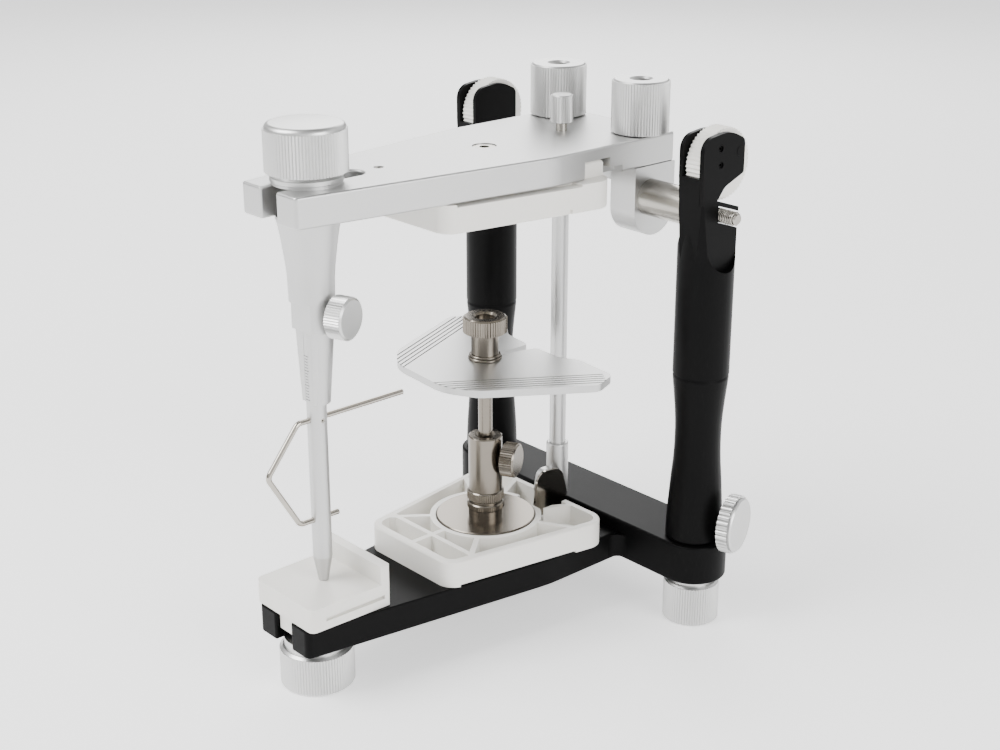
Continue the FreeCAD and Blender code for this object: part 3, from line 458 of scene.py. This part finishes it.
class Workshop:
    """Shared tools for making pieces."""

    def __init__(self) -> None:
        self.finishes = FinishLibrary()
        self.ridges = ridge_ring_tree()
        self.threads = thread_tree()
        self.ticks = tick_tree()
        self.joints = {j["name"]: j for j in frame["record"]["behaviour"]["joints"]}

    def lathe(self, name: str, profile: list[tuple[float, float]], finish: str, turns: int = 96) -> bpy.types.Object:
        """Turn a closed body round the Z axis.

        Args:
            name: the object's name.
            profile: (radius, height) points in millimetres from the bottom's axis to the top's axis.
            finish: key of FINISHES.
            turns: faces round the axis.

        Returns:
            The new object, unplaced.
        """
        bm = bmesh.new()
        rings = []
        for radius, height in profile:
            if radius == 0:
                rings.append([bm.verts.new((0, 0, height * MM))])
                continue
            ring = []
            for k in range(turns):
                a = 2 * math.pi * k / turns
                ring.append(bm.verts.new((radius * MM * math.cos(a), radius * MM * math.sin(a), height * MM)))
            rings.append(ring)
        for low, high in zip(rings, rings[1:]):
            for k in range(turns):
                n = (k + 1) % turns
                if len(low) == 1:
                    bm.faces.new((low[0], high[n], high[k]))
                elif len(high) == 1:
                    bm.faces.new((low[k], low[n], high[0]))
                else:
                    bm.faces.new((low[k], low[n], high[n], high[k]))
        bmesh.ops.recalc_face_normals(bm, faces=bm.faces)
        mesh = bpy.data.meshes.new(name)
        bm.to_mesh(mesh)
        bm.free()
        mesh.materials.append(self.finishes.get(finish))
        smooth(mesh)
        return put_in_scene(name, mesh)

    def grow(self, piece: bpy.types.Object, tree: bpy.types.GeometryNodeTree, **values) -> None:
        """Run a geometry node tree on a piece and keep its result as the piece's mesh.

        Args:
            piece: the object.
            tree: the tree.
            values: the tree's inputs by name, with lengths in metres.
        """
        modifier = piece.modifiers.new(tree.name, "NODES")
        modifier.node_group = tree
        for item in tree.interface.items_tree:
            if item.item_type == "SOCKET" and item.in_out == "INPUT" and item.name in values:
                modifier[item.identifier] = values[item.name]
        bpy.context.view_layer.update()
        graph = bpy.context.evaluated_depsgraph_get()
        made = bpy.data.meshes.new_from_object(piece.evaluated_get(graph))
        piece.modifiers.remove(modifier)
        piece.data = made

    def place(self, piece: bpy.types.Object, origin: Vector, axis: Vector) -> None:
        """Move the mesh from the Z axis to a line through `origin` along `axis`."""
        turn = Vector((0, 0, 1)).rotation_difference(axis).to_matrix().to_4x4()
        piece.data.transform(Matrix.Translation(origin) @ turn)
        piece.data.update()

    def commit(self, piece: bpy.types.Object, body: str, slot: str, *nodes: str) -> None:
        """Hand a finished piece to the frame."""
        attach(piece, body)
        if nodes:
            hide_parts(*nodes)
        LOG.info("%s: %d faces on %s", piece.name, len(piece.data.polygons), body)


def smooth(mesh: bpy.types.Mesh, degrees: float = 32.0) -> None:
    """Shade a mesh smooth, with sharp edges over an angle."""
    mesh.polygons.foreach_set("use_smooth", [True] * len(mesh.polygons))
    mesh.set_sharp_from_angle(angle=math.radians(degrees))


def put_in_scene(name: str, mesh: bpy.types.Mesh) -> bpy.types.Object:
    """Link a mesh into the scene as an object at the origin."""
    piece = bpy.data.objects.new(name, mesh)
    bpy.context.scene.collection.objects.link(piece)
    return piece


def along(node: str, origin: Vector, axis: Vector) -> tuple[float, float, float]:
    """Extent of a CAD node along an axis, and its largest radius about it.

    Args:
        node: the node's name.
        origin: a point on the axis.
        axis: the axis's direction.

    Returns:
        Lowest and highest distance along the axis and the radius, in millimetres.
    """
    low, high, radius = 1e9, -1e9, 0.0
    for vertex in frame["nodes"][node].data.vertices:
        offset = vertex.co - origin
        t = offset.dot(axis)
        low, high = min(low, t), max(high, t)
        radius = max(radius, (offset - axis * t).length)
    return low / MM, high / MM, radius / MM


# ---------------------------------------------------------------- turned pieces

@dataclass
class Knob:
    """A knurled knob, foot or ring that turns on a CAD joint.

    Args:
        node: the CAD node it stands for.
        body: the body it rides on.
        joint: the joint whose axis it turns about.
        ridges: ridges round it.
        depth: ridge depth in millimetres.
        chamfer: rim chamfer in millimetres.
        foot_chamfer: extra chamfer at the low end.
        low_neck: (radius, length) of a plain neck at the low end.
        high_neck: the same at the high end.
        crown: how far the high end's rim is rounded.
        dish: (radius, depth) of a recess in the high face.
        band: plain band left above the ridges.
        sides: faces of a ridge's section; many make round flutes.
        finish: key of FINISHES.
    """

    node: str
    body: str
    joint: str
    ridges: int
    depth: float = 0.28
    chamfer: float = 0.5
    foot_chamfer: float = 0.0
    low_neck: Optional[tuple[float, float]] = None
    high_neck: Optional[tuple[float, float]] = None
    crown: float = 0.0
    dish: Optional[tuple[float, float]] = None
    band: float = 0.0
    sides: int = 4
    finish: str = "turned_aluminium"

    def profile(self, low: float, high: float, radius: float) -> list[tuple[float, float]]:
        """Outline of the core, in millimetres, from the bottom's axis to the top's."""
        core = radius - self.depth
        line: list[tuple[float, float]] = [(0.0, low)]
        start, stop = low, high
        if self.low_neck:
            line += [(self.low_neck[0], low), (self.low_neck[0], low + self.low_neck[1])]
            start = low + self.low_neck[1]
        if self.high_neck:
            stop = high - self.high_neck[1]
        foot = self.chamfer + self.foot_chamfer
        line += [(core - foot * 0.8, start), (core, start + foot)]
        rim = max(self.crown, self.chamfer)
        for k in range(7):
            a = math.pi / 2 * k / 6
            if self.crown == 0 and k not in (0, 6):
                continue
            line.append((core - rim + rim * math.cos(a), stop - rim + rim * math.sin(a)))
        if self.high_neck:
            line += [(self.high_neck[0], stop), (self.high_neck[0], high), (0.0, high)]
        elif self.dish:
            r, deep = self.dish
            line += [(r + 0.7, stop), (r, stop - 0.7), (r, stop - deep), (0.0, stop - deep)]
        else:
            line.append((0.0, stop))
        return line

    def build(self, shop: Workshop) -> None:
        """Make the knob and set it on its joint's axis.

        Args:
            shop: the workshop.
        """
        joint = shop.joints[self.joint]
        origin, axis = Vector(joint["pos_m"]), Vector(joint["axis"]).normalized()
        low, high, radius = along(self.node, origin, axis)
        piece = shop.lathe(self.node + "_look", self.profile(low, high, radius), self.finish)
        # Second material: painted shade for the roots between the ridges.
        piece.data.materials.append(shop.finishes.get(PAINTED_SHADE_ROOTS[self.finish]))
        start = low + (self.low_neck[1] if self.low_neck else 0.0) + self.foot_chamfer + self.chamfer * 0.6
        stop = high - (self.high_neck[1] if self.high_neck else 0.0) - max(self.crown, self.chamfer) - self.band
        # Faces of the core band between the ridges take the painted shade.
        paint_shade_between(piece.data, (radius - self.depth - 0.05) * MM, start * MM, stop * MM)
        width = math.pi * radius / self.ridges * (1.0 if self.sides == 4 else 0.86)
        shop.grow(piece, shop.ridges, Count=self.ridges, Radius=radius * MM, Low=start * MM, High=stop * MM,
                  Depth=self.depth * MM, Width=width * MM, Sides=self.sides,
                  Material=shop.finishes.get(self.finish))
        shop.place(piece, origin, axis)
        shop.commit(piece, self.body, SLOTS.get(self.finish, self.finish), self.node)


def paint_shade_between(mesh: bpy.types.Mesh, radius: float, low: float, high: float) -> None:
    """Give the outer band of a turned mesh its second material, a painted shade, so that the roots of the ridges read
    dark.

    Args:
        mesh: mesh about the Z axis.
        radius: faces whose corners all lie at least this far out are taken.
        low: bottom of the band in metres.
        high: top of the band in metres.
    """
    for face in mesh.polygons:
        corners = [mesh.vertices[k].co for k in face.vertices]
        if all(math.hypot(c.x, c.y) >= radius for c in corners) and low < face.center.z < high:
            face.material_index = 1


def knobs() -> list[Knob]:
    """Every knurled piece."""
    found: list[Knob] = []
    for side in ("right", "left"):
        found += [
            Knob(f"rear_foot_{side}", f"foot_{side}", f"foot_{side}_turn", 62, depth=0.42, chamfer=0.6,
                 high_neck=(8.4, 2.3)),
            Knob(f"rear_knob_{side}", f"knob_rear_{side}", f"knob_rear_{side}_turn", 62, depth=0.42, dish=(3.4, 6.0)),
            Knob(f"guide_dial_{side}", f"dial_{side}", f"dial_{side}_turn", 52, depth=0.6, chamfer=0.4,
                 finish="white_moulded"),
        ]
    found += [
        Knob("side_knob", "side_knob", "side_knob_turn", 34, depth=0.75, chamfer=0.5, low_neck=(4.0, 1.25), band=0.7,
             sides=12),
        Knob("front_foot", "foot_front", "foot_front_turn", 76, depth=0.42, chamfer=0.8, high_neck=(11.0, 3.4)),
        Knob("front_knob", "knob_front", "knob_front_turn", 76, depth=0.42, chamfer=0.5, foot_chamfer=1.1,
             low_neck=(11.6, 1.3), crown=1.8),
        Knob("thumb_knob", "knob_thumb", "knob_thumb_turn", 26, depth=0.36, chamfer=0.3),
        Knob("holder_knob", "knob_holder", "knob_holder_turn", 50, depth=0.34, chamfer=0.6),
        Knob("cap_nut", "cap_nut", "cap_nut_turn", 50, depth=0.34, chamfer=0.5, low_neck=(4.9, 7.8), dish=(3.5, 2.0),
             finish="nickel"),
        Knob("stand_knob", "stand_knob", "stand_knob_turn", 44, depth=0.34, chamfer=0.5, finish="nickel"),
    ]
    return found


@dataclass
class Overlay:
    """Ridges laid on a CAD piece that keeps its own shape.

    Args:
        name: the piece's name.
        body: the body it rides on.
        centre: point on the axis in metres.
        axis: its direction.
        radius: outer radius in millimetres.
        low: start along the axis in millimetres.
        high: end along the axis in millimetres.
        ridges: ridges round it.
        depth: ridge depth in millimetres.
        finish: key of FINISHES.
    """

    name: str
    body: str
    centre: Vector
    axis: Vector
    radius: float
    low: float
    high: float
    ridges: int
    depth: float
    finish: str = "turned_aluminium"

    def build(self, shop: Workshop) -> None:
        """Make the ridges and place them.

        Args:
            shop: the workshop.
        """
        piece = put_in_scene(self.name, bpy.data.meshes.new(self.name))
        width = math.pi * self.radius / self.ridges
        shop.grow(piece, shop.ridges, Count=self.ridges, Radius=self.radius * MM, Low=self.low * MM,
                  High=self.high * MM, Depth=self.depth * MM, Width=width * MM, Sides=4,
                  Material=shop.finishes.get(self.finish))
        shop.place(piece, self.centre, self.axis)
        shop.commit(piece, self.body, SLOTS.get(self.finish, self.finish))


@dataclass
class ThreadedEnds:
    """The two threaded ends of the condylar shaft."""

    node: str = "shaft_threads"
    body: str = "upper"
    pitch: float = 0.75

    def build(self, shop: Workshop) -> None:
        """Turn a core with a helical crest for each side."""
        low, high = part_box(self.node)
        radius = (high.z - low.z) / 2 / MM
        middle = (low + high) / 2
        start = min(abs(v.co.x - middle.x) for v in frame["nodes"][self.node].data.vertices) / MM
        end = (high.x - middle.x) / MM
        for side, name in ((1, "right"), (-1, "left")):
            core = radius - 0.36
            line = [(0, start), (core, start), (core, end - 0.5), (core - 0.5, end), (0, end)]
            piece = shop.lathe(f"shaft_thread_{name}", line, "stainless", 48)
            shop.grow(piece, shop.threads, Radius=radius * MM, Low=(start + 3.0) * MM, High=(end - 0.9) * MM,
                      Pitch=self.pitch * MM, Crest=0.36 * MM, Material=shop.finishes.get("stainless"))
            shop.place(piece, middle, Vector((side, 0, 0)))
            shop.commit(piece, self.body, "stainless", self.node)


@dataclass
class Scale:
    """A row of engraved ticks.

    Args:
        name: the piece's name.
        body: the body it rides on.
        start: the lowest tick's middle in metres.
        facing: direction the ticks face, level.
        count: number of ticks.
        pitch: tick spacing in millimetres.
        length: tick length in millimetres.
    """

    name: str
    body: str
    start: Vector
    facing: Vector
    count: int
    pitch: float = 1.0
    length: float = 2.0

    def build(self, shop: Workshop) -> None:
        """Make the ticks and turn them to face outwards."""
        piece = put_in_scene(self.name, bpy.data.meshes.new(self.name))
        shop.grow(piece, shop.ticks, Count=self.count, Pitch=self.pitch * MM, Length=self.length * MM,
                  Line=0.16 * MM, Relief=0.08 * MM, Material=shop.finishes.get("dark_ink"))
        turn = Vector((0, -1, 0)).rotation_difference(self.facing).to_matrix().to_4x4()
        piece.data.transform(Matrix.Translation(self.start) @ turn)
        shop.commit(piece, self.body, "black_anodised")


# ---------------------------------------------------------------- the whole

@dataclass
class RuledPlatform:
    """The winged platform, with crisp edges and painted shade on the floors of its ruled grooves.

    Args:
        node: the CAD node it stands for.
        body: the body it rides on.
        painted_shade_groove_floor: faces this high over the underside, in millimetres, can belong to a groove.
        skin: how far under the top a face must be to count as in a groove, in millimetres.
    """

    node: str = "occlusal_platform"
    body: str = "platform"
    painted_shade_groove_floor: float = 0.5
    skin: float = 0.01

    def build(self, shop: Workshop) -> None:
        """Take the CAD outline, sharpen its edges and paint shade on the faces of the grooves."""
        source = frame["nodes"][self.node]
        mesh = source.data.copy()
        mesh.name = "platform_look"
        mesh.materials.clear()
        for name in ("silver_anodised", "painted_shade_groove_floor"):
            mesh.materials.append(shop.finishes.get(name))
        top = max(v.co.z for v in mesh.vertices)
        bottom = min(v.co.z for v in mesh.vertices)
        # Faces sunk below the top take the second material, a painted shade for the grooves.
        for face in mesh.polygons:
            low = min(mesh.vertices[k].co.z for k in face.vertices)
            takes_painted_shade = low > bottom + self.painted_shade_groove_floor * MM and face.center.z < top - self.skin * MM
            face.material_index = int(takes_painted_shade)
            face.use_smooth = False
        piece = put_in_scene("platform_look", mesh)
        shop.commit(piece, self.body, "silver_anodised", self.node)


class Articulator:
    """All the visual pieces of the articulator."""

    def __init__(self) -> None:
        self.shop = Workshop()

    def dress_frame(self) -> None:
        """Give every CAD node the finish of its record slot."""
        for part in frame["record"]["subparts"]:
            piece = frame["nodes"][part["node"]]
            name = "nickel" if part["node"] in NICKEL_NODES else part["material_slot"]
            material = self.shop.finishes.get(name)
            piece.data.materials.clear()
            piece.data.materials.append(material)
            LOG.info("%s: %s", part["node"], part["material_slot"])

    def build(self) -> None:
        """Make every piece."""
        self.dress_frame()
        for knob in knobs():
            knob.build(self.shop)
        for overlay in self.overlays():
            overlay.build(self.shop)
        ThreadedEnds().build(self.shop)
        RuledPlatform().build(self.shop)
        for scale in self.scales():
            scale.build(self.shop)

    def overlays(self) -> list[Overlay]:
        """Ridges on the stand's two locking rings."""
        found = []
        up = Vector((0, 0, 1))
        low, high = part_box("stand_rings")
        centre = Vector(((low.x + high.x) / 2, (low.y + high.y) / 2, 0))
        radius = (high.x - low.x) / 2 / MM + 0.15
        for name, start, stop in (("lower", low.z / MM + 0.4, low.z / MM + 2.1),
                                  ("upper", high.z / MM - 3.3, high.z / MM - 0.4)):
            found.append(Overlay(f"ring_knurl_{name}", "rings", centre, up, radius, start, stop, 56, 0.3, "nickel"))
        return found

    def scales(self) -> list[Scale]:
        """Graduations on the pin."""
        low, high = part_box("incisal_pin")
        start = Vector(((low.x + high.x) / 2, low.y - 0.00001, low.z + 0.066))
        return [Scale("pin_scale", "pin", start, Vector((0, -1, 0)), 16, 1.0, 1.4)]


@dataclass(frozen=True)
class Lamp:
    """One soft area light aimed at the object's middle.

    Args:
        name: the light's name.
        spot: where it stands, in metres.
        size: diameter of its disc in metres.
        watts: its power.
    """

    name: str
    spot: tuple[float, float, float]
    size: float
    watts: float


LAMPS = (
    Lamp("key", (-0.35, -0.75, 1.05), 0.9, 22.0),
    Lamp("right", (1.1, 0.1, 0.55), 0.8, 11.0),
    Lamp("back", (-0.85, 0.80, 0.75), 0.9, 9.0),
)


class Studio:
    """Floor, lights and camera."""

    floor_half = 6.0
    floor_gap = 0.00005
    floor_glow = 0.75
    panel_scale = 1.7
    surround = 1.25
    lens = 59.84
    eye = (0.40903, -0.35005, 0.3015)
    azimuth = 48.088
    elevation = 20.858

    def __init__(self, low: Vector, high: Vector) -> None:
        self.low, self.high = low, high

    def floor(self) -> None:
        """Plain pale floor under the feet."""
        mesh = bpy.data.meshes.new("floor")
        half, height = self.floor_half, self.low.z - self.floor_gap
        corners = [(-half, -half, height), (half, -half, height), (half, half, height), (-half, half, height)]
        mesh.from_pydata(corners, [], [(0, 1, 2, 3)])
        piece = put_in_scene("floor", mesh)
        material = bpy.data.materials.new("floor")
        material.use_nodes = True
        shader = material.node_tree.nodes["Principled BSDF"]
        shader.inputs["Base Color"].default_value = (0.93, 0.93, 0.93, 1.0)
        shader.inputs["Roughness"].default_value = 0.8
        shader.inputs["Specular IOR Level"].default_value = 0.1
        shader.inputs["Emission Color"].default_value = (1.0, 1.0, 1.0, 1.0)
        shader.inputs["Emission Strength"].default_value = self.floor_glow
        mesh.materials.append(material)
        piece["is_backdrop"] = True

    def light(self, lamp: Lamp) -> None:
        """Set up one lamp.

        Args:
            lamp: what it is and where it stands.
        """
        data = bpy.data.lights.new(lamp.name, "AREA")
        data.shape = "DISK"
        data.size = lamp.size
        data.energy = lamp.watts
        piece = bpy.data.objects.new(lamp.name, data)
        piece.location = lamp.spot
        aim = (self.low + self.high) / 2 - Vector(lamp.spot)
        piece.rotation_mode = "QUATERNION"
        piece.rotation_quaternion = aim.to_track_quat("-Z", "Y")
        bpy.context.scene.collection.objects.link(piece)

    def lights(self) -> None:
        """Light the object from the front, the right and the back."""
        for lamp in LAMPS:
            self.light(lamp)

    def world(self) -> None:
        """Surround of pale and grey panels, which the metal reflects."""
        world = bpy.data.worlds.new("surround")
        world.use_nodes = True
        nodes, links = world.node_tree.nodes, world.node_tree.links
        back = nodes["Background"]
        place = nodes.new("ShaderNodeTexCoord")
        panels = nodes.new("ShaderNodeTexNoise")
        panels.inputs["Scale"].default_value = self.panel_scale
        panels.inputs["Detail"].default_value = 0.0
        ramp = nodes.new("ShaderNodeValToRGB")
        ramp.color_ramp.elements[0].position = 0.36
        ramp.color_ramp.elements[0].color = (0.22, 0.22, 0.22, 1.0)
        ramp.color_ramp.elements[1].position = 0.58
        ramp.color_ramp.elements[1].color = (1.0, 1.0, 1.0, 1.0)
        links.new(place.outputs["Generated"], panels.inputs["Vector"])
        links.new(panels.outputs["Fac"], ramp.inputs["Fac"])
        links.new(ramp.outputs["Color"], back.inputs["Color"])
        back.inputs["Strength"].default_value = self.surround
        bpy.context.scene.world = world

    def camera(self) -> None:
        """Three-quarter view from the front right."""
        data = bpy.data.cameras.new("camera")
        data.sensor_width = 36.0
        data.lens = self.lens
        eye = bpy.data.objects.new("camera", data)
        eye.location = self.eye
        azimuth, elevation = math.radians(self.azimuth), math.radians(self.elevation)
        back = Vector((math.sin(azimuth) * math.cos(elevation), -math.cos(azimuth) * math.cos(elevation),
                       math.sin(elevation)))
        eye.rotation_mode = "QUATERNION"
        eye.rotation_quaternion = (-back).to_track_quat("-Z", "Y")
        bpy.context.scene.collection.objects.link(eye)
        bpy.context.scene.camera = eye


def main() -> None:
    """Build the scene, sizing the studio from the object's bounds taken before the build."""
    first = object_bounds()
    Articulator().build()
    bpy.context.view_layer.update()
    studio = Studio(*first)
    studio.floor()
    studio.lights()
    studio.world()
    studio.camera()


if __name__ == "__main__":
    main()
